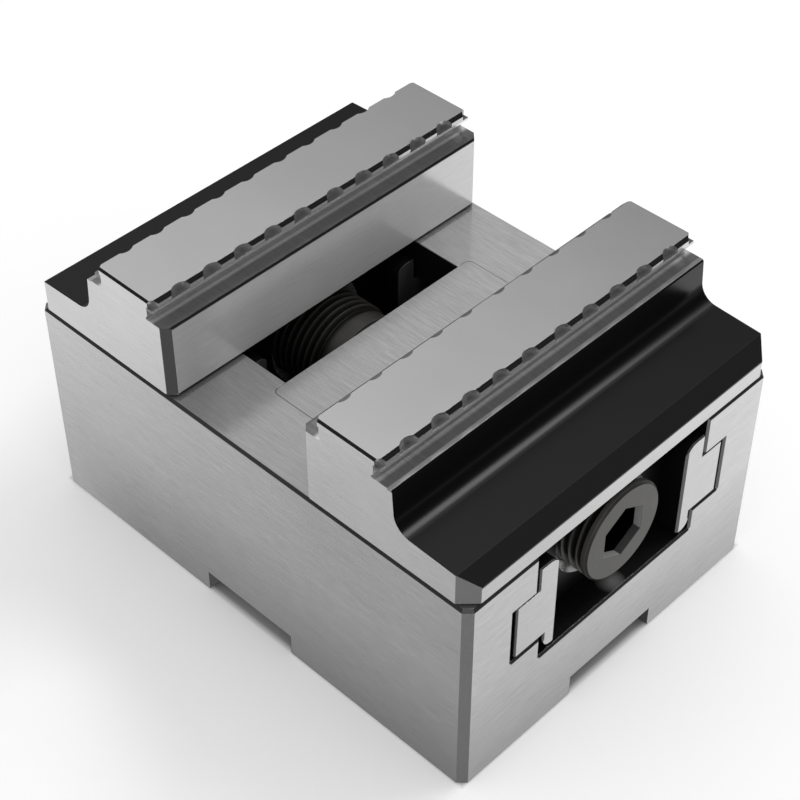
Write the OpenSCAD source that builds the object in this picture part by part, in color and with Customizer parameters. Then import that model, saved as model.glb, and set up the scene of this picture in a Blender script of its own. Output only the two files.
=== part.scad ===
// Self-centering vise. A ground steel base carries a T-shaped guideway, and two slides run in it,
// each with a jaw on top. One lead screw with opposite threads at its two ends is held in a block
// at the middle and moves both slides together, so the work is always clamped on the centre line.
// X runs along the lead screw, Y along the jaws and Z up. The origin is the middle of the underside.

/* [Base] */
// Length of the base along the lead screw
base_l = 102.3; // [98:0.1:130]
// Width of the base and of both jaws
base_w = 75; // [70:0.5:100]
// Height of the base
base_h = 43.4; // [41:0.1:48]
// Chamfer on the four upright corners of the base
base_corner = 1.4; // [0.5:0.1:3]
// Chamfer round the top edges of the base
base_edge = 0.5; // [0.2:0.1:1]
// Chamfer round the bottom edges of the base
under_edge = 0.2; // [0.1:0.1:1]
// Width of the two locating grooves that cross on the underside
groove_w = 21.1; // [14:0.1:24]
// Depth of the two locating grooves
groove_d = 4.7; // [3:0.1:6]
// Chamfer along the mouth of the locating grooves
groove_edge = 0.5; // [0.2:0.1:1]
// Distance between the tapped holes of the underside, both ways
stud_spacing = 52; // [44:1:58]
// Radius of the tapped holes of the underside
stud_r = 4; // [2.5:0.1:5]
// Depth of the tapped holes of the underside
stud_depth = 12; // [8:0.5:14]

/* [Guideway] */
// Width of the open mouth of the guideway
mouth_w = 42.4; // [41:0.1:46]
// Chamfer along both edges of the mouth
mouth_edge = 0.15; // [0.05:0.05:0.8]
// Width of the undercut that holds the slides down
tee_w = 53.7; // [50:0.1:58]
// Height of the ceiling of the undercut above the underside
tee_top = 35.5; // [33:0.1:38]
// Height of the floor of the undercut above the underside
tee_bottom = 22.8; // [21.5:0.1:24]
// Width of the channel below the undercut
channel_w = 39.5; // [37:0.1:41]
// Height of the channel's floor above the underside
channel_z = 18.1; // [17:0.1:19.5]
// Chamfer round the guideway's walls and floors where they meet the end faces
guide_edge = 0.4; // [0.1:0.1:0.8]

/* [Slides] */
// Side clearance between a slide and the mouth of the guideway
neck_gap = 0.5; // [0.3:0.05:0.8]
// Side clearance between a slide and the undercut
tee_gap = 0.9; // [0.5:0.05:1.5]
// Clearance between a slide and the ceiling of the undercut
hold_gap = 0.45; // [0.3:0.05:0.8]
// Clearance between a slide and the floor of the undercut
rest_gap = 0.75; // [0.4:0.05:1]
// Side clearance between a slide and the channel
channel_gap = 0.85; // [0.4:0.05:1.2]
// Clearance between a slide and the channel's floor
floor_gap = 1.6; // [0.8:0.1:2]
// Wall of the two legs left by the pocket at each end of a slide
leg_t = 4.6; // [3.6:0.1:5.4]
// Height of the top of those legs above the underside
leg_top = 40; // [38:0.1:41]
// Radius along the inner top edge of the legs
leg_round = 2.3; // [1:0.1:3]
// Radius along the lower outer edges of a slide
slide_round = 1.8; // [0.5:0.1:2]
// Chamfer on the upright outer edges at the two ends of a slide
slide_edge = 0.25; // [0.1:0.05:0.5]
// Depth of the pocket at each end of a slide
pocket_d = 5.15; // [3:0.05:6]
// Chamfer where the pocket opens in the end face
pocket_edge = 0.4; // [0.2:0.1:0.8]

/* [Lead screw] */
// Height of the screw's axis above the underside
screw_z = 32.7; // [31.5:0.1:33.5]
// Outer radius of the screw over its threads
screw_r = 9.4; // [8.9:0.01:9.6]
// Chamfer round the two end faces of the screw
screw_edge = 0.4; // [0.1:0.1:0.8]
// Radial clearance of the screw in the slides
nut_gap = 0.06; // [0.03:0.01:0.1]
// Length of the flared mouth of the bore in a slide
nut_flare = 1.3; // [0.5:0.05:1.5]
// Radius of the journal that turns in the middle block
journal_r = 6; // [5:0.1:7]
// Radial clearance of the journal in the block
journal_gap = 0.05; // [0.02:0.01:0.1]
// Radius of the two collars that bear on the block
collar_r = 8.5; // [7.6:0.1:8.8]
// Length of each collar
collar_l = 2; // [1:0.1:3]
// Length of the plain land next to each collar
land_l = 3; // [1.5:0.1:4]
// Radius of the plain land next to each collar
land_r = 8.84; // [8.4:0.01:8.9]
// Length of the relief groove between land and thread
relief_l = 1.3; // [0.8:0.1:2]
// Radius of the relief groove between land and thread
relief_r = 7.7; // [7.2:0.1:8.3]
// Distance across flats of the hexagonal sockets
hex_flats = 9.5; // [8:0.1:12]
// Depth of the hexagonal sockets
hex_depth = 7; // [5:0.5:12]

/* [Middle block] */
// Thickness of the block along the screw
block_t = 10.9; // [8:0.1:13]
// Width of the block across the guideway
block_w = 48.3; // [44:0.1:56]
// Radius of the upright corners of the block
block_round = 1.2; // [0.5:0.1:2]
// Clearance round the block in its pocket
block_gap = 0.1; // [0.02:0.01:0.2]
// Chamfer round the upright slot edges of the block
fork_edge = 0.5; // [0.2:0.1:1]
// Distance of each block screw from the middle
block_screw_y = 15; // [12.5:0.1:17]
// Depth of the block screw heads below the groove, to their seat
block_seat_d = 5.3; // [5.1:0.1:6.5]
// Length of a block screw below its head
block_screw_l = 20; // [14:1:24]

/* [Jaws] */
// Length of a jaw and its slide along the screw
jaw_l = 35.55; // [34:0.05:40]
// Clearance between a jaw and the top of the base
jaw_gap = 0.6; // [0.2:0.1:1.5]
// Height of the two ledges above the jaw's underside
ledge_h = 14.7; // [13:0.1:18]
// Chamfer along the outer edges of the ledges
ledge_edge = 0.3; // [0.1:0.1:0.6]
// Distance of the inner grip edge from the inner face of the jaw
lip_set = 2.87; // [2:0.01:4]
// Width of the toothed top plate over both grip edges
plate_w = 14.32; // [13:0.01:15]
// Height of the top plate above the ledges
plate_h = 4.07; // [3.4:0.01:6]
// Overhang of the grip edges beyond the walls below them
lip_out = 1.4; // [1:0.05:1.8]
// Thickness of the grip edges
lip_t = 1.97; // [1.4:0.01:2.4]
// Chamfer along the top of the grip edges
lip_edge = 0.64; // [0.3:0.01:0.9]
// Chamfer at the two ends of the top plate
plate_edge = 0.4; // [0.2:0.1:0.8]
// Depth of the relief groove at the foot of the walls
foot_d = 0.35; // [0.2:0.05:0.6]
// Height of the relief groove at the foot of the walls
foot_h = 0.45; // [0.3:0.05:0.8]
// Radius of the grip notches
notch_r = 2.23; // [1.6:0.01:2.3]
// Distance of a notch's centre outside the grip edge
notch_out = 1.05; // [0.95:0.01:1.4]
// Depth of the grip notches
notch_d = 1.42; // [0.8:0.01:1.8]
// Distance between neighbouring notches
notch_pitch = 6.83; // [5.5:0.01:9]
// Distance of the first notch from the middle of the jaw
notch_first = 3.875; // [2.8:0.005:4.5]
// Distance of the scoop from the inner face of the jaw
scoop_set = 19.7; // [18.7:0.1:21]
// Height of the scoop's inner corner above the jaw's underside
scoop_h = 6.8; // [6.4:0.1:9]
// Draft of the scoop's wall, in degrees
scoop_draft = 4; // [1:0.5:8]
// Slope of the scoop's floor, in degrees
scoop_slope = 2.5; // [1:0.5:6]
// Radius of the fillet in the scoop's corner
scoop_r = 3.45; // [1.5:0.05:4]
// Chamfer on the outer edge of the scoop's floor
scoop_edge = 2.7; // [1.5:0.1:3.5]
// Chamfer on the outer upright corners of a jaw
jaw_corner = 2.8; // [1:0.1:4]
// Chamfer on the inner upright corners of a jaw
jaw_inner_corner = 1.4; // [0.5:0.1:2.5]

/* [Fasteners] */
// Radius of the screws' shanks
bolt_r = 2.5; // [2:0.1:3]
// Radius of the screws' heads
bolt_head_r = 4.25; // [3.8:0.05:4.6]
// Height of the screws' heads
bolt_head_h = 5; // [4:0.1:5]
// Distance across flats of the sockets in the screws
bolt_hex = 4; // [3:0.1:5]
// Depth of the sockets in the screws
bolt_hex_d = 2.5; // [1.5:0.1:3]
// Clearance round a shank or a pin in a close hole
bolt_gap = 0.05; // [0.03:0.01:0.1]
// Clearance round a shank in a free hole, and round a head
free_gap = 0.2; // [0.1:0.05:0.4]
// Spare depth past the tip of a screw or a pin
tip_gap = 0.5; // [0.2:0.1:1]
// Length of a jaw screw below its head
jaw_screw_l = 20; // [17:0.5:22]
// Length of a jaw screw inside the jaw
jaw_bite = 4.5; // [3:0.1:5]
// Distance of the jaw screws from the middle plane of the guideway
jaw_screw_y = 13.7; // [13.4:0.1:15]
// Distance of the inner jaw screws from the jaw's inner face
jaw_screw_set = 10.3; // [10:0.1:11.5]
// Distance between the inner and the outer jaw screws
jaw_screw_step = 12.6; // [12:0.1:14]
// Radius of the dowel pins
dowel_r = 2.5; // [1.5:0.1:2.6]
// Length of the dowel pins
dowel_l = 10; // [8:0.5:12]
// Distance of the dowel pins from the middle plane of the guideway
dowel_y = 16.8; // [16:0.1:17.6]

/* [Hidden] */
// How far a cutting shape runs past the face that it opens
past = 1;
// Fineness of bores and of small round parts
fine = 72;
small = 40;

// Heights that follow from the sizes above
jaw_z = base_h + jaw_gap;
slide_z = channel_z + floor_gap;
flange_z = tee_bottom + rest_gap;
flange_top = tee_top - hold_gap;
neck_half = mouth_w / 2 - neck_gap;
flange_half = tee_w / 2 - tee_gap;
foot_half = channel_w / 2 - channel_gap;
pocket_half = neck_half - leg_t;
plate_top = ledge_h + plate_h;
// Distance between two opposite corner chamfers of the base
corner_span = (base_l + base_w - 2 * base_corner) / sqrt(2);
// Distance of the jaws' inner faces from the middle of the vise
jaw_in = base_l / 2 - jaw_l;
block_seat_z = groove_d + block_seat_d;
jaw_seat_z = jaw_z + jaw_bite - jaw_screw_l;
// The screw's shape along its axis, from the middle outwards
collar_x = block_t / 2 + block_gap;
land_x = collar_x + collar_l;
relief_x = land_x + land_l;
thread_x = relief_x + relief_l;

// An extrusion along X of an outline drawn with Y across and Z up
module along_x(x0, x1) {
    translate([x0, 0, 0]) rotate([90, 0, 90]) linear_extrude(x1 - x0) children();
}

// An extrusion along Y of an outline drawn with X across and Z up
module along_y(half) {
    translate([0, half, 0]) rotate([90, 0, 0]) linear_extrude(2 * half) children();
}

// The material between a square corner and its rounding
module corner_waste(r) {
    difference() {
        translate([-past, -past]) square(r + past);
        translate([r, r]) circle(r, $fn = fine);
    }
}

// A rectangle about the middle with chamfered corners
module chamfered(l, w, c) {
    polygon([
        [l / 2, w / 2 - c], [l / 2 - c, w / 2], [c - l / 2, w / 2], [-l / 2, w / 2 - c],
        [-l / 2, c - w / 2], [c - l / 2, -w / 2], [l / 2 - c, -w / 2], [l / 2, c - w / 2]
    ]);
}

// A rectangle about the middle with rounded corners
module rounded(l, w, r) {
    difference() {
        square([l, w], center = true);
        for (sx = [0, 1], sy = [0, 1])
            mirror([sx, 0]) mirror([0, sy]) translate([-l / 2, -w / 2]) corner_waste(r);
    }
}

// A view of the base from one side, with its top and bottom edges chamfered
module base_view(l) {
    polygon([
        [l / 2 - under_edge, 0], [l / 2, under_edge], [l / 2, base_h - base_edge],
        [l / 2 - base_edge, base_h], [base_edge - l / 2, base_h], [-l / 2, base_h - base_edge],
        [-l / 2, under_edge], [under_edge - l / 2, 0]
    ]);
}

// The guideway's section: mouth, undercut and lower channel
module guideway() {
    m = mouth_w / 2;
    t = tee_w / 2;
    c = channel_w / 2;
    open = m + mouth_edge + past;
    half = [
        [open, base_h + past], [m, base_h - mouth_edge], [m, tee_top], [t, tee_top],
        [t, tee_bottom], [c, tee_bottom], [c, channel_z]
    ];
    last = len(half) - 1;
    polygon(concat(half, [for (i = [last:-1:0]) [-half[i][0], half[i][1]]]));
}

// The waste of a chamfer of size e on a corner at the origin, the material lying towards +X, -Y
module edge_waste(e) {
    polygon([[-past, -e - past], [-past, past], [e + past, past]]);
}

// The chamfers where the guideway's walls and floors meet an end face at x = 0
module guide_end() {
    for (wall = [[mouth_w, tee_top, base_h], [tee_w, tee_bottom, tee_top],
                 [channel_w, channel_z, tee_bottom]], s = [0, 1])
        mirror([0, s, 0]) translate([0, wall[0] / 2, wall[1]]) linear_extrude(wall[2] - wall[1])
            rotate(180) edge_waste(guide_edge);
    for (ground = [[channel_w, channel_z], [tee_w, tee_bottom]])
        translate([0, 0, ground[1]]) along_y(ground[0] / 2) mirror([1, 0]) edge_waste(guide_edge);
}

// One locating groove's section, its mouth flared at the underside
module groove() {
    w = groove_w / 2;
    e = groove_edge;
    polygon([
        [-w - e - past, -past], [-w, e], [-w, groove_d], [w, groove_d], [w, e],
        [w + e + past, -past]
    ]);
}

// A shank pointing up, its head below the seat, with a hexagonal socket in the head
module bolt(l) {
    difference() {
        union() {
            cylinder(r = bolt_r, h = l, $fn = small);
            translate([0, 0, -bolt_head_h]) cylinder(r = bolt_head_r, h = bolt_head_h, $fn = small);
        }
        translate([0, 0, -bolt_head_h - past])
            cylinder(d = bolt_hex / cos(30), h = bolt_hex_d + past, $fn = 6);
    }
}

// A closed hole for a screw's shank or a pin, from z0 up to past the tip
module close_hole(r, z0, z1) {
    translate([0, 0, z0]) cylinder(r = r + bolt_gap, h = z1 + tip_gap - z0, $fn = small);
}

// The free hole and the counterbore under a screw's seat
module seat_hole(seat, bottom, top) {
    translate([0, 0, bottom - past])
        cylinder(r = bolt_head_r + free_gap, h = seat - bottom + past, $fn = small);
    translate([0, 0, seat - past])
        cylinder(r = bolt_r + free_gap, h = top - seat + 2 * past, $fn = small);
}

module at_block_screw(i) {
    translate([0, i == 1 ? -block_screw_y : block_screw_y, 0]) children();
}

// Screws 1 and 2 lie nearer the inner face, 3 and 4 further out
module at_jaw_screw(i) {
    x = jaw_in + jaw_screw_set + (i > 2 ? jaw_screw_step : 0);
    translate([x, i % 2 == 1 ? -jaw_screw_y : jaw_screw_y, 0]) children();
}

module at_dowel(i) {
    x = jaw_in + jaw_screw_set + jaw_screw_step / 2;
    translate([x, i == 1 ? -dowel_y : dowel_y, 0]) children();
}

// The base: a ground block with the guideway through it, the pocket for the middle block, the
// crossed locating grooves and four tapped holes in the underside
module base_body() color("silver") difference() {
    intersection() {
        linear_extrude(base_h) chamfered(base_l, base_w, base_corner);
        along_x(-base_l / 2, base_l / 2) base_view(base_w);
        along_y(base_w / 2) base_view(base_l);
        rotate([0, 0, 45]) along_y(base_l) base_view(corner_span);
        rotate([0, 0, -45]) along_y(base_l) base_view(corner_span);
    }
    along_x(-base_l / 2 - past, base_l / 2 + past) guideway();
    for (s = [0, 1]) mirror([s, 0, 0]) translate([base_l / 2, 0, 0]) guide_end();
    translate([0, 0, channel_z]) linear_extrude(base_h)
        rounded(block_t + 2 * block_gap, block_w + 2 * block_gap, block_round);
    along_x(-base_l / 2 - past, base_l / 2 + past) groove();
    along_y(base_w / 2 + past) groove();
    for (sx = [-1, 1], sy = [-1, 1]) translate([sx * stud_spacing / 2, sy * stud_spacing / 2, -past])
        cylinder(r = stud_r, h = stud_depth + past, $fn = small);
    for (i = [1, 2]) at_block_screw(i) seat_hole(block_seat_z, groove_d, channel_z);
}

// The middle block: a fork over the screw's journal, flush with the top of the base
module centre_block() color("lightgray") difference() {
    translate([0, 0, channel_z]) linear_extrude(base_h - channel_z)
        rounded(block_t, block_w, block_round);
    translate([-base_l / 2, 0, screw_z]) rotate([0, 90, 0])
        cylinder(r = journal_r + journal_gap, h = base_l, $fn = fine);
    along_x(-block_t, block_t) polygon([
        [-journal_r - journal_gap - fork_edge - past, channel_z - past],
        [-journal_r - journal_gap, channel_z + fork_edge], [-journal_r - journal_gap, screw_z],
        [journal_r + journal_gap, screw_z], [journal_r + journal_gap, channel_z + fork_edge],
        [journal_r + journal_gap + fork_edge + past, channel_z - past]
    ]);
    for (i = [1, 2]) at_block_screw(i)
        close_hole(bolt_r, channel_z - past, block_seat_z + block_screw_l);
}

module centre_screw(i) color("dimgray") at_block_screw(i)
    translate([0, 0, block_seat_z]) bolt(block_screw_l);

// The lead screw: journal, collars, plain lands, relief grooves and the two threaded ends, drawn
// at the crest of the thread, with a hexagonal socket in each end
module lead_screw() color("slategray") translate([0, 0, screw_z]) rotate([0, 90, 0]) difference() {
    half = [
        [journal_r, collar_x], [collar_r, collar_x], [collar_r, land_x], [land_r, land_x],
        [land_r, relief_x], [relief_r, relief_x], [relief_r, thread_x], [screw_r, thread_x],
        [screw_r, base_l / 2 - screw_edge], [screw_r - screw_edge, base_l / 2]
    ];
    last = len(half) - 1;
    rotate_extrude($fn = fine) polygon(concat(
        [[0, base_l / 2], [0, -base_l / 2]],
        [for (i = [last:-1:0]) [half[i][0], -half[i][1]]], half));
    for (s = [0, 1]) mirror([0, 0, s]) translate([0, 0, base_l / 2 - hex_depth])
        cylinder(d = hex_flats / cos(30), h = hex_depth + past, $fn = 6);
}

// The outline of a slide: narrow neck, wide flanges below the undercut and a lower foot
module slide_outline() {
    difference() {
        translate([-foot_half, slide_z]) square([2 * foot_half, flange_top - slide_z]);
        for (s = [0, 1]) mirror([s, 0]) translate([-foot_half, slide_z]) corner_waste(slide_round);
    }
    translate([-flange_half, flange_z]) square([2 * flange_half, flange_top - flange_z]);
    translate([-neck_half, flange_z]) square([2 * neck_half, leg_top - flange_z]);
}

// The waste at the end of a slide: the pocket, open upwards and downwards, the roundings of the
// legs' tops and the chamfers on the outer upright edges
module slide_end() {
    p = pocket_half;
    e = pocket_edge;
    translate([0, 0, slide_z - past]) linear_extrude(jaw_z) polygon([
        [-past, -p - e - past], [e, -p], [pocket_d, -p], [pocket_d, p], [e, p],
        [-past, p + e + past]
    ]);
    for (s = [0, 1]) mirror([0, s, 0]) along_x(-past, pocket_d) translate([p, leg_top])
        rotate([0, 0, -90]) corner_waste(leg_round);
    for (wall = [[neck_half, flange_top, leg_top], [flange_half, flange_z, flange_top],
                 [foot_half, slide_z + slide_round, flange_z]], s = [0, 1])
        mirror([0, s, 0]) translate([0, wall[0], wall[1]]) linear_extrude(wall[2] - wall[1])
            edge_waste(slide_edge);
}

module slide() color("darkgray") difference() {
    union() {
        along_x(jaw_in, base_l / 2) slide_outline();
        translate([jaw_in + pocket_d, -neck_half, flange_top])
            cube([jaw_l - 2 * pocket_d, 2 * neck_half, jaw_z - flange_top]);
    }
    translate([jaw_in, 0, 0]) slide_end();
    translate([base_l / 2, 0, 0]) mirror([1, 0, 0]) slide_end();
    translate([0, 0, screw_z]) rotate([0, 90, 0]) {
        cylinder(r = screw_r + nut_gap, h = base_l / 2, $fn = fine);
        translate([0, 0, jaw_in + pocket_d])
            cylinder(r1 = screw_r + nut_gap + nut_flare, r2 = screw_r + nut_gap,
                     h = nut_flare, $fn = fine);
        translate([0, 0, base_l / 2 - pocket_d - nut_flare])
            cylinder(r1 = screw_r + nut_gap, r2 = screw_r + nut_gap + nut_flare,
                     h = nut_flare, $fn = fine);
    }
    for (i = [1:4]) at_jaw_screw(i) seat_hole(jaw_seat_z, slide_z, jaw_z);
    for (i = [1, 2]) at_dowel(i) translate([0, 0, jaw_z - dowel_l / 2])
        cylinder(r = dowel_r + bolt_gap, h = dowel_l, $fn = small);
}

// The side view of a jaw: ledge, undercut top plate, ledge, and the scoop with its fillet
module jaw_outline() {
    in_wall = lip_set + lip_out;
    out_lip = lip_set + plate_w;
    out_wall = out_lip - lip_out;
    lip_z = plate_top - lip_t;
    // Where wall and floor of the scoop would meet without the fillet
    corner = [scoop_set + (ledge_h - ledge_edge - scoop_h) * tan(scoop_draft), scoop_h];
    floor_x = jaw_l - scoop_edge;
    floor_z = scoop_h - (floor_x - corner[0]) * tan(scoop_slope);
    polygon([
        [0, 0], [0, ledge_h - ledge_edge], [ledge_edge, ledge_h],
        [in_wall + foot_d, ledge_h], [in_wall + foot_d, ledge_h + foot_h],
        [in_wall, ledge_h + foot_h + foot_d], [in_wall, lip_z], [lip_set, lip_z],
        [lip_set, plate_top - lip_edge], [lip_set + lip_edge, plate_top],
        [out_lip - lip_edge, plate_top], [out_lip, plate_top - lip_edge],
        [out_lip, lip_z], [out_wall, lip_z], [out_wall, ledge_h + foot_h + foot_d],
        [out_wall - foot_d, ledge_h + foot_h], [out_wall - foot_d, ledge_h],
        [scoop_set - ledge_edge, ledge_h], [scoop_set, ledge_h - ledge_edge],
        corner, [floor_x, floor_z], [jaw_l, floor_z - scoop_edge], [jaw_l, 0]
    ]);
    half = (90 + scoop_draft + scoop_slope) / 2;
    reach = scoop_r / tan(half);
    middle = scoop_r / sin(half) * [cos(half - scoop_slope), sin(half - scoop_slope)];
    translate(corner) difference() {
        polygon([
            [0, 0], reach * [-sin(scoop_draft), cos(scoop_draft)], middle,
            reach * [cos(scoop_slope), -sin(scoop_slope)]
        ]);
        translate(middle) circle(scoop_r, $fn = fine);
    }
}

// The plan of a jaw, measured from its inner face
module jaw_plan() {
    w = base_w / 2;
    c = jaw_inner_corner;
    d = jaw_corner;
    polygon([
        [0, c - w], [c, -w], [jaw_l - d, -w], [jaw_l, d - w],
        [jaw_l, w - d], [jaw_l - d, w], [c, w], [0, w - c]
    ]);
}

module jaw() color("gainsboro") difference() {
    w = base_w / 2;
    translate([jaw_in, 0, jaw_z]) intersection() {
        along_y(w) jaw_outline();
        linear_extrude(plate_top) jaw_plan();
        along_x(0, jaw_l) polygon([
            [-w, 0], [-w, plate_top - plate_edge], [plate_edge - w, plate_top],
            [w - plate_edge, plate_top], [w, plate_top - plate_edge], [w, 0]
        ]);
    }
    for (x = [lip_set - notch_out, lip_set + plate_w + notch_out])
        for (i = [0:floor((w + notch_r / 2 - notch_first) / notch_pitch)], s = [-1, 1])
            translate([jaw_in + x, s * (notch_first + i * notch_pitch), jaw_z + plate_top - notch_d])
                cylinder(r = notch_r, h = notch_d + past, $fn = small);
    for (i = [1:4]) at_jaw_screw(i) close_hole(bolt_r, jaw_z - past, jaw_z + jaw_bite);
    for (i = [1, 2]) at_dowel(i) close_hole(dowel_r, jaw_z - past, jaw_z + dowel_l / 2);
}

module jaw_screw(i) color("dimgray") at_jaw_screw(i)
    translate([0, 0, jaw_seat_z]) bolt(jaw_screw_l);

module dowel(i) color("lightgray") at_dowel(i) translate([0, 0, jaw_z - dowel_l / 2])
    cylinder(r = dowel_r, h = dowel_l, $fn = small);

// The jaw set at the back is the front one mirrored across the middle of the vise
module at_back() {
    mirror([1, 0, 0]) children();
}

base_body();
centre_block();
centre_screw(1);  // centre_screw_1
centre_screw(2);  // centre_screw_2
lead_screw();
slide();  // front_slide
jaw();  // front_jaw
jaw_screw(1);  // front_jaw_screw_1
jaw_screw(2);  // front_jaw_screw_2
jaw_screw(3);  // front_jaw_screw_3
jaw_screw(4);  // front_jaw_screw_4
dowel(1);  // front_dowel_1
dowel(2);  // front_dowel_2
at_back() slide();  // back_slide
at_back() jaw();  // back_jaw
at_back() jaw_screw(1);  // back_jaw_screw_1
at_back() jaw_screw(2);  // back_jaw_screw_2
at_back() jaw_screw(3);  // back_jaw_screw_3
at_back() jaw_screw(4);  // back_jaw_screw_4
at_back() dowel(1);  // back_dowel_1
at_back() dowel(2);  // back_dowel_2
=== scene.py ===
import math

import bmesh
import bpy
from mathutils import Matrix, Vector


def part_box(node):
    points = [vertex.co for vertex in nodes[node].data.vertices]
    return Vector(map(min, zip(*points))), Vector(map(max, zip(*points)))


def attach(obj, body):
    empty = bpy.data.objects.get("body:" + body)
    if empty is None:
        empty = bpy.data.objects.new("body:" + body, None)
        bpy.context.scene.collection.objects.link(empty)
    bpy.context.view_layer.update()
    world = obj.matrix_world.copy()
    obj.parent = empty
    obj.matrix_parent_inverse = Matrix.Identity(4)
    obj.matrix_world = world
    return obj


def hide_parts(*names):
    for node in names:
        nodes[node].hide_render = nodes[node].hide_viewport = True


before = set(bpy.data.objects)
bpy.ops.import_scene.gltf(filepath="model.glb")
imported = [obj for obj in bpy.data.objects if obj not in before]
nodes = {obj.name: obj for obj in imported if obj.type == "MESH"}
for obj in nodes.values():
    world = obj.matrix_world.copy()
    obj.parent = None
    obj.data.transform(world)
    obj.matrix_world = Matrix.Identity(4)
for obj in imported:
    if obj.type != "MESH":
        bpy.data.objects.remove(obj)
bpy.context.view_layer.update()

# The camera and the studio. The vise stands on a white table with one large soft lamp above and
# behind it. What polished steel mirrors is a pale room that darkens towards the table below the
# vise and behind the camera, as around a light tent.
camera_azimuth = math.radians(44.08)
camera_height = math.radians(43.396)
camera = bpy.data.objects.new("camera", bpy.data.cameras.new("camera"))
bpy.context.scene.collection.objects.link(camera)
camera.location = (0.17190, -0.17683, 0.26174)
camera.rotation_euler = (math.pi / 2 - camera_height, 0, camera_azimuth)
camera.data.sensor_width = 36
camera.data.lens = 86.01
camera.data.clip_start = 0.01
bpy.context.scene.camera = camera
bpy.context.scene.view_settings.view_transform = "Standard"


def add(tree, kind, **settings):
    """A new node of that kind with those settings."""
    node = tree.nodes.new(kind)
    for name, value in settings.items():
        setattr(node, name, value)
    return node


def feed(tree, value, socket):
    """Sets a socket to a number, or links a socket to it."""
    if isinstance(value, (int, float)):
        socket.default_value = value
    else:
        tree.links.new(value, socket)


def math_of(tree, operation, a, b=None, c=None, clamp=False):
    """The result of a Math node on numbers or sockets."""
    node = add(tree, "ShaderNodeMath", operation=operation, use_clamp=clamp)
    for i, value in enumerate((a, b, c)):
        if value is not None:
            feed(tree, value, node.inputs[i])
    return node.outputs[0]


def leaning(tree, vector, along):
    """How far a vector goes along another one."""
    node = add(tree, "ShaderNodeVectorMath", operation="DOT_PRODUCT")
    tree.links.new(vector, node.inputs[0])
    node.inputs[1].default_value = along
    return node.outputs["Value"]


def span(tree, value, low, high, at_low, at_high):
    """A value that goes from at_low to at_high while the given one goes from low to high."""
    node = add(tree, "ShaderNodeMapRange")
    for name, number in (
            ("Value", value), ("From Min", low), ("From Max", high), ("To Min", at_low),
            ("To Max", at_high)):
        feed(tree, number, node.inputs[name])
    return node.outputs["Result"]


def stepped(tree, value, stops):
    """A value that passes through the given pairs of value and result, straight between them."""
    result = stops[0][1]
    for (low, a), (high, b) in zip(stops, stops[1:]):
        result = math_of(tree, "ADD", span(tree, value, low, high, 0, b - a), result)
    return result


def mixed(tree, factor, a, b):
    """A colour between two greys or colours by factor."""
    node = add(tree, "ShaderNodeMix", data_type="RGBA")
    tree.links.new(factor, node.inputs["Factor"])
    for socket, value in ((node.inputs[6], a), (node.inputs[7], b)):
        if isinstance(value, (int, float)):
            socket.default_value = (value, value, value, 1)
        elif isinstance(value, tuple):
            socket.default_value = value
        else:
            tree.links.new(value, socket)
    return node.outputs[2]


def at(tree):
    """The place X, Y and Z of a point, in metres."""
    parts = add(tree, "ShaderNodeSeparateXYZ")
    tree.links.new(add(tree, "ShaderNodeTexCoord").outputs["Object"], parts.inputs[0])
    return parts.outputs


def where(tree):
    """The distances |x|, |y| and z of a point, in metres."""
    place = at(tree)
    return math_of(tree, "ABSOLUTE", place["X"]), math_of(tree, "ABSOLUTE", place["Y"]), place["Z"]


# By direction: height is up, side is to the camera's right and off is to either side. The top of
# the vise mirrors the room overhead, and its two walls what is left and right below the horizon.
# A band low above the horizon lights the views from the back, and ends before the scoop sees it.
room = bpy.data.worlds.new("studio")
bpy.context.scene.world = room
room.use_nodes = True
tree = room.node_tree
tree.nodes.clear()
way = add(tree, "ShaderNodeTexCoord").outputs["Generated"]
height = leaning(tree, way, (0, 0, 1))
side = leaning(tree, way, (0.707, 0.707, 0))
off = math_of(tree, "ABSOLUTE", side)
overhead = math_of(tree, "SUBTRACT", leaning(tree, way, (-0.85, -0.85, 2.6)), 1.16, clamp=True)
overhead = math_of(tree, "MULTIPLY", overhead, span(tree, off, 0.33, 0.52, 1.0, 0.05))
horizon = math_of(
    tree, "MULTIPLY", span(tree, height, 0.20, 0.42, 0.45, 0.0),
    span(tree, side, 0.60, 0.80, 1, 0))
above = math_of(tree, "MAXIMUM", overhead, horizon)
left = stepped(tree, height, (
    (-0.81, 0.27), (-0.79, 0.32), (-0.766, 0.38), (-0.72, 0.42), (-0.70, 0.51),
    (-0.66, 0.80), (-0.64, 0.90), (-0.50, 1.0), (-0.36, 0.05), (-0.30, 0.60)))
right = stepped(tree, height, (
    (-0.80, 0.61), (-0.68, 1.06), (-0.62, 1.20), (-0.50, 1.0), (-0.36, 0.05), (-0.30, 0.30)))
below = mixed(tree, math_of(tree, "GREATER_THAN", side, 0), left, right)
below = math_of(tree, "MULTIPLY", below, span(tree, off, 0.15, 0.50, 0.1, 1.0))
belt = mixed(tree, span(tree, height, -0.04, 0.04, 0.0, 1.0), below, above)
mirrored = add(tree, "ShaderNodeBackground")
tree.links.new(belt, mirrored.inputs["Color"])
fill = add(tree, "ShaderNodeBackground")
fill.inputs["Color"].default_value = (0.77, 0.77, 0.77, 1)
white = add(tree, "ShaderNodeBackground")
white.inputs["Color"].default_value = (1, 1, 1, 1)
ray = add(tree, "ShaderNodeLightPath")
gloss = add(tree, "ShaderNodeMixShader")
tree.links.new(ray.outputs["Is Glossy Ray"], gloss.inputs[0])
tree.links.new(fill.outputs[0], gloss.inputs[1])
tree.links.new(mirrored.outputs[0], gloss.inputs[2])
seen = add(tree, "ShaderNodeMixShader")
tree.links.new(ray.outputs["Is Camera Ray"], seen.inputs[0])
tree.links.new(gloss.outputs[0], seen.inputs[1])
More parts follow.
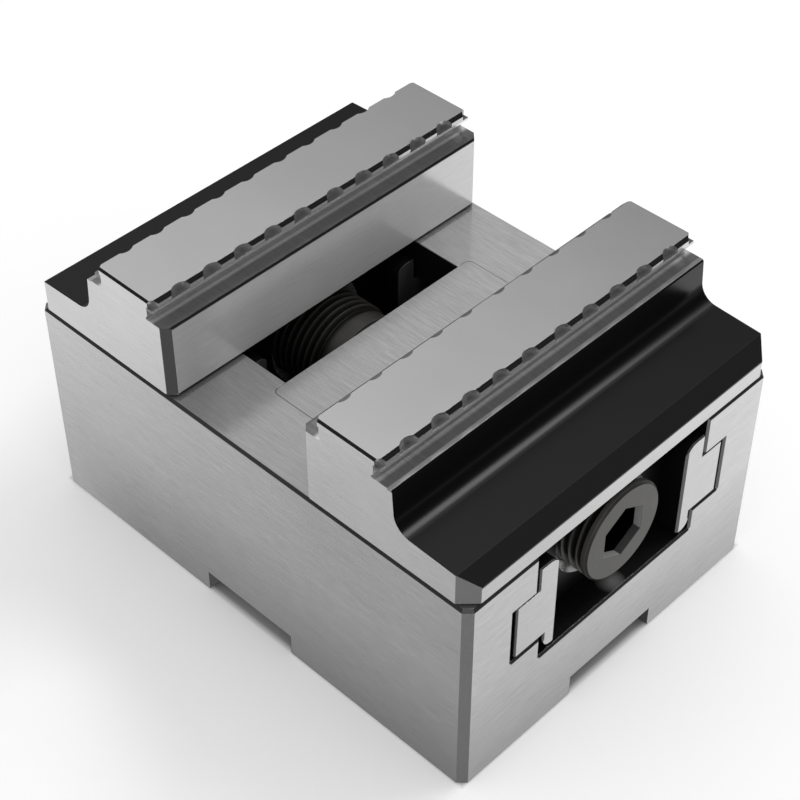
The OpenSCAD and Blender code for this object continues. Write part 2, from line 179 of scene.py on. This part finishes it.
tree.links.new(white.outputs[0], seen.inputs[2])
tree.links.new(seen.outputs[0], add(tree, "ShaderNodeOutputWorld").inputs[0])

softbox = bpy.data.lights.new("softbox", "AREA")
softbox.shape = "RECTANGLE"
softbox.size = 0.40
softbox.size_y = 0.20
softbox.energy = 2.0
lamp = bpy.data.objects.new("softbox", softbox)
bpy.context.scene.collection.objects.link(lamp)
lamp.location = (0.17, 0.44, 0.80)
lamp.rotation_euler = lamp.location.to_track_quat("Z", "Y").to_euler()

# The table glows a little for the camera, except in the shade under the vise, where its colour is
# also painted darker as a painted shadow
table = bpy.data.meshes.new("table")
bm = bmesh.new()
bmesh.ops.create_grid(bm, x_segments=1, y_segments=1, size=3)
bm.to_mesh(table)
bm.free()
floor = bpy.data.objects.new("table", table)
bpy.context.scene.collection.objects.link(floor)
paper = bpy.data.materials.new("white_table")
paper.use_nodes = True
tree = paper.node_tree
tree.nodes.clear()
x, y, z = where(tree)
beside = math_of(
    tree, "MAXIMUM", span(tree, x, 0.0500, 0.0515, 0, 1), span(tree, y, 0.0363, 0.0378, 0, 1))
matt = add(tree, "ShaderNodeBsdfDiffuse")
tree.links.new(mixed(tree, beside, 0.45, 0.88), matt.inputs["Color"])
unlit = add(tree, "ShaderNodeEmission")
unlit.inputs["Strength"].default_value = 0
glow = add(tree, "ShaderNodeEmission")
glow.inputs["Color"].default_value = (0.19, 0.19, 0.19, 1)
ray = add(tree, "ShaderNodeLightPath")
lift = add(tree, "ShaderNodeMixShader")
tree.links.new(math_of(tree, "MULTIPLY", ray.outputs["Is Camera Ray"], beside), lift.inputs[0])
tree.links.new(unlit.outputs[0], lift.inputs[1])
tree.links.new(glow.outputs[0], lift.inputs[2])
both = add(tree, "ShaderNodeAddShader")
tree.links.new(matt.outputs[0], both.inputs[0])
tree.links.new(lift.outputs[0], both.inputs[1])
tree.links.new(both.outputs[0], add(tree, "ShaderNodeOutputMaterial").inputs[0])
table.materials.append(paper)
floor.visible_glossy = False

# The base. A block of hardened steel, ground on every face with the grain along its length, and
# milled with a T-shaped guideway whose walls are painted near black as shade. Two locating
# grooves cross underneath, and the small chamfers along the top edges are painted dark as a
# painted reflection.
base_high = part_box("base_body")[1]
base_end_x = base_high.x
chamfer_x = base_end_x - 0.00042
near_end_x = base_end_x - 0.00005
near_top_z = base_high.z - 0.0001
guideway_y, channel_z = 0.0274, 0.0176
groove_half, groove_z = 0.01065, 0.00475


def grouped(name, inputs, outputs):
    """A new node group, the values given to it and the sockets that it puts out."""
    group = bpy.data.node_groups.new(name, "ShaderNodeTree")
    for label, value in inputs:
        socket = group.interface.new_socket(label, in_out="INPUT", socket_type="NodeSocketFloat")
        socket.default_value = value
    for label, kind in outputs:
        group.interface.new_socket(label, in_out="OUTPUT", socket_type=kind)
    return group, add(group, "NodeGroupInput").outputs, add(group, "NodeGroupOutput").inputs


def facing(tree):
    """How far a face looks along X, Y and Z, each from 0 to 1."""
    geometry = add(tree, "ShaderNodeNewGeometry")
    size = add(tree, "ShaderNodeVectorMath", operation="ABSOLUTE")
    tree.links.new(geometry.outputs["True Normal"], size.inputs[0])
    parts = add(tree, "ShaderNodeSeparateXYZ")
    tree.links.new(size.outputs[0], parts.inputs[0])
    return parts.outputs


def streaks(tree, scale, detail):
    """Noise with its own scale along X, Y and Z, per metre."""
    mapping = add(tree, "ShaderNodeMapping", vector_type="POINT")
    mapping.inputs["Scale"].default_value = scale
    tree.links.new(add(tree, "ShaderNodeTexCoord").outputs["Object"], mapping.inputs["Vector"])
    noise = add(tree, "ShaderNodeTexNoise")
    noise.inputs["Scale"].default_value = 1
    noise.inputs["Detail"].default_value = detail
    noise.inputs["Roughness"].default_value = 0.6
    tree.links.new(mapping.outputs[0], noise.inputs["Vector"])
    return noise.outputs["Fac"]


def more(tree, value, limit):
    """1 where value is over the limit, else 0."""
    return math_of(tree, "GREATER_THAN", value, limit)


def less(tree, value, limit):
    """1 where value is under the limit, else 0."""
    return math_of(tree, "LESS_THAN", value, limit)


def all_of(tree, *values):
    """1 where all the values are 1; the product of them."""
    product = values[0]
    for value in values[1:]:
        product = math_of(tree, "MULTIPLY", product, value)
    return product


def between(tree, value, low, high):
    """1 where value lies between low and high, else 0."""
    return all_of(tree, more(tree, value, low), less(tree, value, high))


# Grinding lines: along X on faces that look sideways or up, along Y on faces that look along X;
# and the faint clouds that oil and handling leave
grind, given, out = grouped(
    "ground_grain", [], [(label, "NodeSocketFloat") for label in ("Fine", "Broad", "Clouds")])
end_face = more(grind, facing(grind)["X"], 0.8)
for label, long, wide in (("Fine", 260, 3600), ("Broad", 60, 1100)):
    pick = add(grind, "ShaderNodeMix", data_type="FLOAT")
    grind.links.new(end_face, pick.inputs["Factor"])
    grind.links.new(streaks(grind, (long, wide, wide), 2.0), pick.inputs["A"])
    grind.links.new(streaks(grind, (wide, long, wide), 2.0), pick.inputs["B"])
    grind.links.new(pick.outputs["Result"], out[label])
grind.links.new(streaks(grind, (45, 45, 45), 2.0), out["Clouds"])

# A broken edge: the shading turns softly over a tiny radius, given in metres
broken, given, out = grouped(
    "broken_edge", [("Radius", 0.0001)], [("Normal", "NodeSocketVector")])
soft = add(broken, "ShaderNodeBevel", samples=8)
broken.links.new(given["Radius"], soft.inputs["Radius"])
broken.links.new(soft.outputs[0], out["Normal"])

# Faces at a slant, such as chamfers, where the steel is painted near black as a painted reflection
slanted, given, out = grouped("slanted_faces", [], [("Mask", "NodeSocketFloat")])
slanted.links.new(between(slanted, facing(slanted)["Z"], 0.3, 0.97), out["Mask"])


def ground_steel(name, grey, roughness, contrast, edge=0.00005):
    """Ground steel whose grain is as strong as contrast(tree) says; returns its material, tree,
    shader and colour and roughness so far."""
    steel = bpy.data.materials.new(name)
    steel.use_nodes = True
    tree = steel.node_tree
    shader = tree.nodes["Principled BSDF"]
    shader.inputs["Metallic"].default_value = 0.75
    grain = add(tree, "ShaderNodeGroup", node_tree=grind)
    fine = span(tree, grain.outputs["Fine"], 0.3, 0.7, -0.06, 0.06)
    broad = span(tree, grain.outputs["Broad"], 0.3, 0.7, -0.025, 0.025)
    clouds = span(tree, grain.outputs["Clouds"], 0.3, 0.7, 0.97, 1.03)
    lines = math_of(tree, "MULTIPLY", math_of(tree, "ADD", fine, broad), contrast(tree))
    shade = math_of(tree, "ADD", lines, clouds)
    colour = mixed(tree, math_of(tree, "MULTIPLY", shade, 0.5), 0.0, 2 * grey)
    rough = span(tree, grain.outputs["Fine"], 0.3, 0.7, roughness - 0.03, roughness + 0.03)
    rounding = add(tree, "ShaderNodeGroup", node_tree=broken)
    rounding.inputs["Radius"].default_value = edge
    tree.links.new(rounding.outputs["Normal"], shader.inputs["Normal"])
    return steel, tree, shader, colour, rough


def painted_dark_slants(tree, colour, black=0.13):
    """The steel's colour, painted near black on the faces at a slant as a painted reflection."""
    at_a_slant = add(tree, "ShaderNodeGroup", node_tree=slanted).outputs["Mask"]
    return mixed(tree, at_a_slant, colour, black)


def shaded(tree, colour, factor):
    """A colour made brighter or darker by factor."""
    node = add(tree, "ShaderNodeVectorMath", operation="SCALE")
    tree.links.new(colour, node.inputs[0])
    tree.links.new(factor, node.inputs["Scale"])
    return node.outputs[0]


def finish(tree, shader, colour, rough, dark, dark_grey=0.02, duller=0.2):
    """Links colour and roughness; where dark is 1 the steel is as dark as dark_grey and duller."""
    tree.links.new(mixed(tree, dark, colour, dark_grey), shader.inputs["Base Color"])
    tree.links.new(math_of(tree, "MULTIPLY_ADD", dark, duller, rough), shader.inputs["Roughness"])


def dress(names, material):
    """Gives the solids of those names their material."""
    for name in names:
        mesh = nodes[name].data
        mesh.materials.clear()
        mesh.materials.append(material)


def flush_top(tree):
    """1 on the top of base and middle block, which are ground in one pass, else 0."""
    return more(tree, at(tree)["Z"], near_top_z)


def top_grain(tree):
    """The grain is stronger on the top than elsewhere."""
    return span(tree, flush_top(tree), 0, 1, 1.1, 1.5)


def painted_top_light(tree):
    """Painted light on the top: darker towards -Y and lighter towards +Y across its width, 1
    elsewhere.
    """
    pale = span(tree, at(tree)["Y"], -0.034, 0.034, -0.30, 0.20)
    return math_of(tree, "MULTIPLY_ADD", flush_top(tree), pale, 1)


base_steel, tree, shader, colour, rough = ground_steel("base_steel", 0.62, 0.20, top_grain)
x, y, z = where(tree)
looks = facing(tree)
# Painted light and shade: the top is painted darker towards -Y and lighter towards +Y, and the
# walls darker towards the table as painted shade, except at the back end
wall = more(tree, math_of(tree, "MAXIMUM", looks["X"], looks["Y"]), 0.9)
painted_low_shade = all_of(
    tree, span(tree, z, 0.001, 0.024, 0.33, 0), wall,
    span(tree, at(tree)["X"], -0.047, -0.030, 0, 1))
colour = shaded(tree, colour, math_of(tree, "SUBTRACT", painted_top_light(tree), painted_low_shade))
# The guideway has a pale chamfer at its mouths, and its walls are painted near black as shade,
# with a painted highlight on its floor in front
way_in = all_of(tree, between(tree, y, -1, guideway_y), between(tree, z, channel_z, near_top_z))
rim = all_of(tree, way_in, between(tree, x, chamfer_x, near_end_x))
colour = mixed(tree, rim, colour, 0.40)
# Painted shade: the grooves underneath are painted dark inside
grooves = all_of(
    tree, less(tree, math_of(tree, "MINIMUM", x, y), groove_half), less(tree, z, groove_z))
colour = mixed(tree, grooves, colour, 0.06)
highlight_spot = add(tree, "ShaderNodeVectorMath", operation="DISTANCE")
tree.links.new(add(tree, "ShaderNodeTexCoord").outputs["Object"], highlight_spot.inputs[0])
highlight_spot.inputs[1].default_value = (base_end_x - 0.0023, 0.0011, channel_z + 0.0005)
shade_and_highlight = mixed(tree, span(tree, highlight_spot.outputs["Value"], 0.0, 0.0028, 1, 0), 0.02, 0.70)
sunk = all_of(tree, way_in, between(tree, x, -1, chamfer_x))
finish(tree, shader, painted_dark_slants(tree, colour), rough, sunk, shade_and_highlight)
dress(["base_body"], base_steel)

# The middle block. A hardened steel fork over the journal of the screw, screwed down in its
# pocket from below and ground flush with the base in one pass. Its walls are painted dark as
# shade.
block_steel, tree, shader, colour, rough = ground_steel("block_steel", 0.61, 0.20, top_grain)
# Painted light across the top, as on the base, and the slants painted dark
colour = painted_dark_slants(tree, shaded(tree, colour, painted_top_light(tree)))
finish(tree, shader, colour, rough, between(tree, at(tree)["Z"], -1, near_top_z), 0.05)
dress(["centre_block"], block_steel)

# The slides. T-shaped steel nuts that run in the guideway, ground on their ends and painted
# dark as shade elsewhere, with a painted glint on the flare at each mouth of the threaded bore.
slide_end_x = 0.0157
screw_axis_z = 0.0327
bore_r, flare_r = 0.0095, 0.01078


def end_grain(tree):
    """The same grain all over."""
    return 0.7


def from_axis(tree, y, z):
    """The distance of a point from the axis of the screw."""
    rise = math_of(tree, "SUBTRACT", z, screw_axis_z)
    squares = math_of(
        tree, "ADD", math_of(tree, "MULTIPLY", rise, rise), math_of(tree, "MULTIPLY", y, y))
    return math_of(tree, "SQRT", squares)


slide_steel, tree, shader, colour, rough = ground_steel("slide_steel", 0.62, 0.20, end_grain)
x, y, z = where(tree)
# Painted shade: the inner ends are painted darker; the chamfer at the outer end is pale
colour = mixed(tree, less(tree, x, slide_end_x), colour, 0.24)
colour = mixed(tree, between(tree, x, chamfer_x, near_end_x), colour, 0.40)
# Painted shade over the body inside the guideway, and a painted glint on the flare of the bore
sunk = between(tree, x, slide_end_x, chamfer_x)
reach = from_axis(tree, y, z)
flare_glint = all_of(tree, sunk, between(tree, reach, bore_r, flare_r))
colour = mixed(tree, flare_glint, colour, 0.95)
finish(tree, shader, colour, rough, all_of(tree, sunk, more(tree, reach, flare_r)), 0.015)
dress(["front_slide", "back_slide"], slide_steel)

# The jaws. Stepped blocks of hardened steel, ground bright, with a toothed and undercut plate on
# top. The scoop behind the plate isn't ground and keeps the black of the oxide bath.
jaw_z, ledge_z, lip_z, plate_z = 0.0440, 0.0587, 0.0608, 0.06277
jaw_face_x, jaw_corner_x = 0.0157, 0.0172
lip_x, outer_lip_x, plate_mid_x = 0.01847, 0.03279, 0.02561
scoop_x, scoop_z = 0.0350, 0.0472
hair = 0.00002


def on_ledge(tree):
    """1 on the two ledges beside the top plate."""
    level = more(tree, facing(tree)["Z"], 0.9)
    return all_of(tree, between(tree, at(tree)["Z"], ledge_z - 0.00005, ledge_z + 0.00005), level)


def jaw_grain(tree):
    """Hardly any on the top plate, strong on the ledges."""
    plate = more(tree, at(tree)["Z"], plate_z - 0.00003)
    return math_of(tree, "ADD", span(tree, plate, 0, 1, 0.75, 0.15), on_ledge(tree))


def opposite(tree, value):
    """1 less the value."""
    return math_of(tree, "SUBTRACT", 1.0, value)


jaw_steel, tree, shader, colour, rough = ground_steel("jaw_steel", 0.61, 0.18, jaw_grain, hair)
x, y, z = where(tree)
place = at(tree)
looks = facing(tree)
# Painted light: the ends that look along Y are painted lighter, more so towards +X
ends = more(tree, looks["Y"], 0.9)
end_light = span(tree, place["X"], -0.03, 0.03, 1.15, 1.25)
colour = shaded(tree, colour, span(tree, ends, 0, 1, 1, end_light))
# The grip: milled notches painted dark as shade, their floors darker than their walls; a painted
# highlight along the bottom of the lips in front, and the lips darker at their ends
notch = all_of(
    tree, between(tree, x, lip_x + hair, outer_lip_x - hair),
    between(tree, z, lip_z, plate_z - hair), opposite(tree, ends))
colour = mixed(tree, notch, colour, span(tree, looks["Z"], 0.4, 0.6, 0.38, 0.27))
lip_highlight = all_of(
    tree, between(tree, z, lip_z - 0.0001, lip_z + 0.00035), more(tree, looks["X"], 0.9),
    between(tree, x, lip_x - 0.00017, lip_x + 0.00013))
colour = mixed(tree, lip_highlight, colour, 0.9)
lip_end = all_of(
    tree, ends, between(tree, z, lip_z - 0.0001, lip_z + 0.0007),
    opposite(tree, between(tree, x, 0.0199, 0.0314)))
colour = mixed(tree, lip_end, colour, 0.22)
# Painted light and shade: the ledges are painted lighter near the plate, against the shade under
# the lip, and darker away from it, and a black strip in the joint under the jaw is painted shade
gap_shade_z = span(tree, between(tree, x, -1, jaw_corner_x), 0, 1, jaw_z + 0.00003, jaw_z + 0.00024)
colour = mixed(tree, less(tree, z, gap_shade_z), colour, 0.01)
ledge = on_ledge(tree)
from_plate = math_of(tree, "ABSOLUTE", math_of(tree, "SUBTRACT", x, plate_mid_x))
ledge_light = stepped(
    tree, from_plate, ((0.0064, 1.6), (0.0069, 0.85), (0.0072, 0.42), (0.0096, 0.30)))
colour = shaded(tree, colour, span(tree, ledge, 0, 1, 1, ledge_light))
# Painted light and shade on the inner faces: painted lighter, darker towards the -Y end and dark
# along the top; their corner chamfers are painted darker as a painted reflection
inner = all_of(tree, less(tree, x, jaw_face_x), more(tree, looks["X"], 0.9))
colour = shaded(tree, colour, span(tree, inner, 0, 1, 1, 1.1))
inner_end_shade = span(tree, place["Y"], -0.032, -0.025, 0.18, 0)
colour = shaded(tree, colour, opposite(tree, all_of(tree, inner, inner_end_shade)))
brow = all_of(tree, inner, more(tree, z, ledge_z - 0.00048))
nook = all_of(tree, less(tree, x, jaw_corner_x), between(tree, looks["X"], 0.4, 0.9))
colour = mixed(tree, nook, mixed(tree, brow, colour, 0.04), 0.25)
# The scoop: black, a little paler on its outer chamfer and worn bright along its upper edge
scoop = all_of(
    tree, between(tree, x, scoop_x - 0.00001, 1), between(tree, z, scoop_z, ledge_z - hair),
    less(tree, looks["Y"], 0.5))
crest = all_of(
    tree, between(tree, x, scoop_x - 0.0007, scoop_x + 0.00005),
    between(tree, z, ledge_z - 0.00034, ledge_z + 0.00006))
colour = mixed(tree, crest, painted_dark_slants(tree, colour, 0.06), 0.40)
brink = more(tree, x, base_end_x - 0.0028)
rough = math_of(
    tree, "ADD", span(tree, scoop, 0, 1, rough, 0.20), math_of(tree, "MULTIPLY", ledge, -0.06))
finish(tree, shader, colour, rough, all_of(tree, scoop, opposite(tree, crest)),
       mixed(tree, brink, 0.004, 0.014), 0.08)
# Its curved wall keeps its smooth normals, and it has oxide in place of bare metal
rounded = shader.inputs["Normal"].links[0].from_socket
normal = add(tree, "ShaderNodeMix", data_type="VECTOR")
tree.links.new(scoop, normal.inputs["Factor"])
tree.links.new(rounded, normal.inputs[4])
tree.links.new(add(tree, "ShaderNodeNewGeometry").outputs["Normal"], normal.inputs[5])
tree.links.new(normal.outputs[1], shader.inputs["Normal"])
dull = math_of(
    tree, "ADD", math_of(tree, "MULTIPLY", inner, 0.37), math_of(tree, "MULTIPLY", ledge, 0.10))
bare = math_of(tree, "SUBTRACT", span(tree, scoop, 0, 1, 0.75, 0), dull)
tree.links.new(bare, shader.inputs["Metallic"])
shader.inputs["Specular IOR Level"].default_value = 0.3
dress(["front_jaw", "back_jaw"], jaw_steel)

# The lead screw. Turned from one bar of tempered steel: journal, collars and lands in the middle,
# right-hand thread at one end and left-hand at the other, a hexagonal socket in each end face.
# Its sizes are in millimetres until the finished mesh is scaled to metres.
MM = 0.001
rim = 72
pitch = 1.5
journal_r, collar_r, land_r, relief_r, screw_r = 6.0, 8.5, 8.84, 7.7, 9.4
root_r, crest_r = 8.36, 9.32
collar_x, land_x, relief_x, thread_x = 5.55, 7.55, 10.55, 11.85
end_x, thread_end, rim_edge = 51.15, 50.0, 0.4
socket_flats, socket_depth, socket_tip = 9.5, 7.0, 1.2


def circle(bm, x, radius, sides, turn=0.0):
    """A ring of edges about the X axis."""
    turned = Matrix.Rotation(turn, 4, "X") @ Matrix.Rotation(math.pi / 2, 4, "Y")
    made = bmesh.ops.create_circle(
        bm, cap_ends=False, radius=radius, segments=sides,
        matrix=Matrix.Translation((x, 0, 0)) @ turned)
    return list({e for v in made["verts"] for e in v.link_edges})


def draw_on(bm, loop, dx, scale):
    """Extrudes a ring of edges along X, scales the new ring about the axis and returns it."""
    made = bmesh.ops.extrude_edge_only(bm, edges=loop)["geom"]
    verts = [v for v in made if isinstance(v, bmesh.types.BMVert)]
    bmesh.ops.translate(bm, vec=(dx, 0, 0), verts=verts)
    bmesh.ops.scale(bm, vec=(1, scale, scale), verts=verts)
    ring = set(verts)
    return [e for e in made if isinstance(e, bmesh.types.BMEdge) and set(e.verts) <= ring]


def open_ring(bm, x):
    """The open edges at that place along the screw."""
    return [e for e in bm.edges if len(e.link_faces) == 1
            and all(abs(v.co.x - x) < 0.001 for v in e.verts)]


# One tooth's outline is spun into the thread of one half, which is then cut square at both ends
bm = bmesh.new()
first_x = thread_x - pitch - 0.1
outline = [
    (0, root_r), (0.18, root_r), (0.66, crest_r), (0.84, crest_r), (1.32, root_r), (pitch, root_r)]
profile = [bm.verts.new((first_x + dx, 0, r)) for dx, r in outline]
for a, b in zip(profile, profile[1:]):
    bm.edges.new((a, b))
turns = math.ceil((thread_end - first_x) / pitch) + 1
bmesh.ops.spin(
    bm, geom=bm.verts[:] + bm.edges[:], cent=(0, 0, 0), axis=(1, 0, 0), dvec=(pitch / rim, 0, 0),
    angle=2 * math.pi * turns, steps=rim * turns, use_merge=False, use_duplicate=False)
bmesh.ops.remove_doubles(bm, verts=bm.verts[:], dist=0.002)
for x, cut in ((thread_x, {"clear_inner": True}), (thread_end, {"clear_outer": True})):
    bmesh.ops.bisect_plane(
        bm, geom=bm.verts[:] + bm.edges[:] + bm.faces[:], dist=0.0001,
        plane_co=(x, 0, 0), plane_no=(1, 0, 0), **cut)
inner_cut, outer_cut = open_ring(bm, thread_x), open_ring(bm, thread_end)
ring = circle(bm, 0, journal_r, rim)
radius, x = journal_r, 0
for new_x, new_r in (
        (collar_x, journal_r), (collar_x, collar_r), (land_x, collar_r), (land_x, land_r),
        (relief_x, land_r), (relief_x, relief_r), (thread_x, relief_r)):
    ring = draw_on(bm, ring, new_x - x, new_r / radius)
    radius, x = new_r, new_x
bmesh.ops.bridge_loops(bm, edges=ring + inner_cut)
ring = circle(bm, thread_end, screw_r, rim)
bmesh.ops.bridge_loops(bm, edges=outer_cut + ring)
ring = draw_on(bm, ring, end_x - rim_edge - thread_end, 1)
ring = draw_on(bm, ring, rim_edge, (screw_r - rim_edge) / screw_r)
hexagon = circle(bm, end_x, socket_flats / 2 / math.cos(math.pi / 6), 6, math.pi / 2)
bmesh.ops.subdivide_edges(bm, edges=hexagon, cuts=rim // 6 - 1)
hexagon = [e for e in bm.edges if not e.link_faces]
bmesh.ops.bridge_loops(bm, edges=ring + hexagon)
wall = draw_on(bm, hexagon, -socket_depth, 1)
tip = draw_on(bm, wall, -socket_tip, 0.05)
bmesh.ops.contextual_create(bm, geom=tip)
# The other half is its mirror image
bmesh.ops.mirror(bm, geom=bm.verts[:] + bm.edges[:] + bm.faces[:], axis="X", merge_dist=0.001)
bmesh.ops.remove_doubles(bm, verts=bm.verts[:], dist=0.001)
bmesh.ops.recalc_face_normals(bm, faces=bm.faces[:])
bmesh.ops.transform(
    bm, matrix=Matrix.Translation((0, 0, screw_axis_z)) @ Matrix.Scale(MM, 4), verts=bm.verts[:])
for face in bm.faces:
    face.smooth = True
screw_mesh = bpy.data.meshes.new("lead_screw_turned")
bm.to_mesh(screw_mesh)
bm.free()
screw_mesh.set_sharp_from_angle(angle=math.radians(28))
screw = bpy.data.objects.new("lead_screw_turned", screw_mesh)
bpy.context.scene.collection.objects.link(screw)
bar_steel = bpy.data.materials.new("turned_bar_steel")
bar_steel.use_nodes = True
tree = bar_steel.node_tree
shader = tree.nodes["Principled BSDF"]
shader.inputs["Metallic"].default_value = 0.4
lathe = streaks(tree, (3000, 60, 60), 2.0)
film = streaks(tree, (180, 180, 180), 3.0)
tone = span(tree, math_of(tree, "MULTIPLY", lathe, film), 0.12, 0.42, 0, 1)
colour = mixed(tree, tone, (0.058, 0.056, 0.052, 1), (0.070, 0.068, 0.063, 1))
x, y, z = where(tree)
reach = from_axis(tree, y, z)
# Oiled dark where the thread begins; the crests are painted lighter as a painted highlight, the
# roots darker as painted shade, and a painted highlight lies on the rim at each end
oiled = stepped(tree, x, ((0.0095, 1.0), (0.0125, 0.42), (0.020, 0.42), (0.030, 0.85)))
colour = shaded(tree, colour, oiled)
rim_highlight = all_of(tree, more(tree, reach, 0.0093), between(tree, x, 0.04995, 0.0508))
colour = shaded(tree, colour, span(tree, rim_highlight, 0, 1, 1, 2.4))
thread = between(tree, x, 0.012, 0.0499)
crest_light_root_shade = span(tree, reach, 0.00885, 0.00925, 0.45, 2.1)
colour = shaded(tree, colour, span(tree, thread, 0, 1, 1, crest_light_root_shade))
# Painted light and shade in the socket: near its mouth the walls are painted light, except the
# shady one that looks up and towards -Y, and deeper down they are painted black as shade
in_socket = less(tree, reach, 0.00552)
lit_mouth = all_of(tree, in_socket, between(tree, x, 0.0497, 0.05112))
deep_shade = all_of(tree, in_socket, between(tree, x, 0.040, 0.0497))
looks = add(tree, "ShaderNodeTexCoord").outputs["Normal"]
shady = more(tree, leaning(tree, looks, (0, -0.5, 0.866)), 0.9)
colour = mixed(tree, lit_mouth, colour, mixed(tree, shady, 0.52, 0.10))
tree.links.new(mixed(tree, deep_shade, colour, 0.0), shader.inputs["Base Color"])
tree.links.new(span(tree, film, 0.3, 0.7, 0.26, 0.34), shader.inputs["Roughness"])
screw_mesh.materials.append(bar_steel)
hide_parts("lead_screw")
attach(screw, "screw")
dress(["lead_screw"], bar_steel)

# The cap screws. Bought steel screws, blackened with oxide, driven up from below: two hold the
# middle block in the base and four hold each jaw on its slide.
oxide = bpy.data.materials.new("oxide_screw_steel")
oxide.use_nodes = True
tree = oxide.node_tree
shader = tree.nodes["Principled BSDF"]
shader.inputs["Metallic"].default_value = 0.6
blotch = streaks(tree, (700, 700, 700), 3.0)
tree.links.new(mixed(tree, blotch, 0.02, 0.045), shader.inputs["Base Color"])
tree.links.new(math_of(tree, "MULTIPLY_ADD", blotch, 0.2, 0.28), shader.inputs["Roughness"])
dress([name for name in nodes if "screw_" in name], oxide)

# The dowel pins. Hardened and ground steel pins, two under each jaw, that locate it on its slide
# and are hidden between the two.
pin_steel, tree, shader, colour, rough = ground_steel("pin_steel", 0.62, 0.15, end_grain)
tree.links.new(colour, shader.inputs["Base Color"])
tree.links.new(rough, shader.inputs["Roughness"])
dress([name for name in nodes if "dowel" in name], pin_steel)
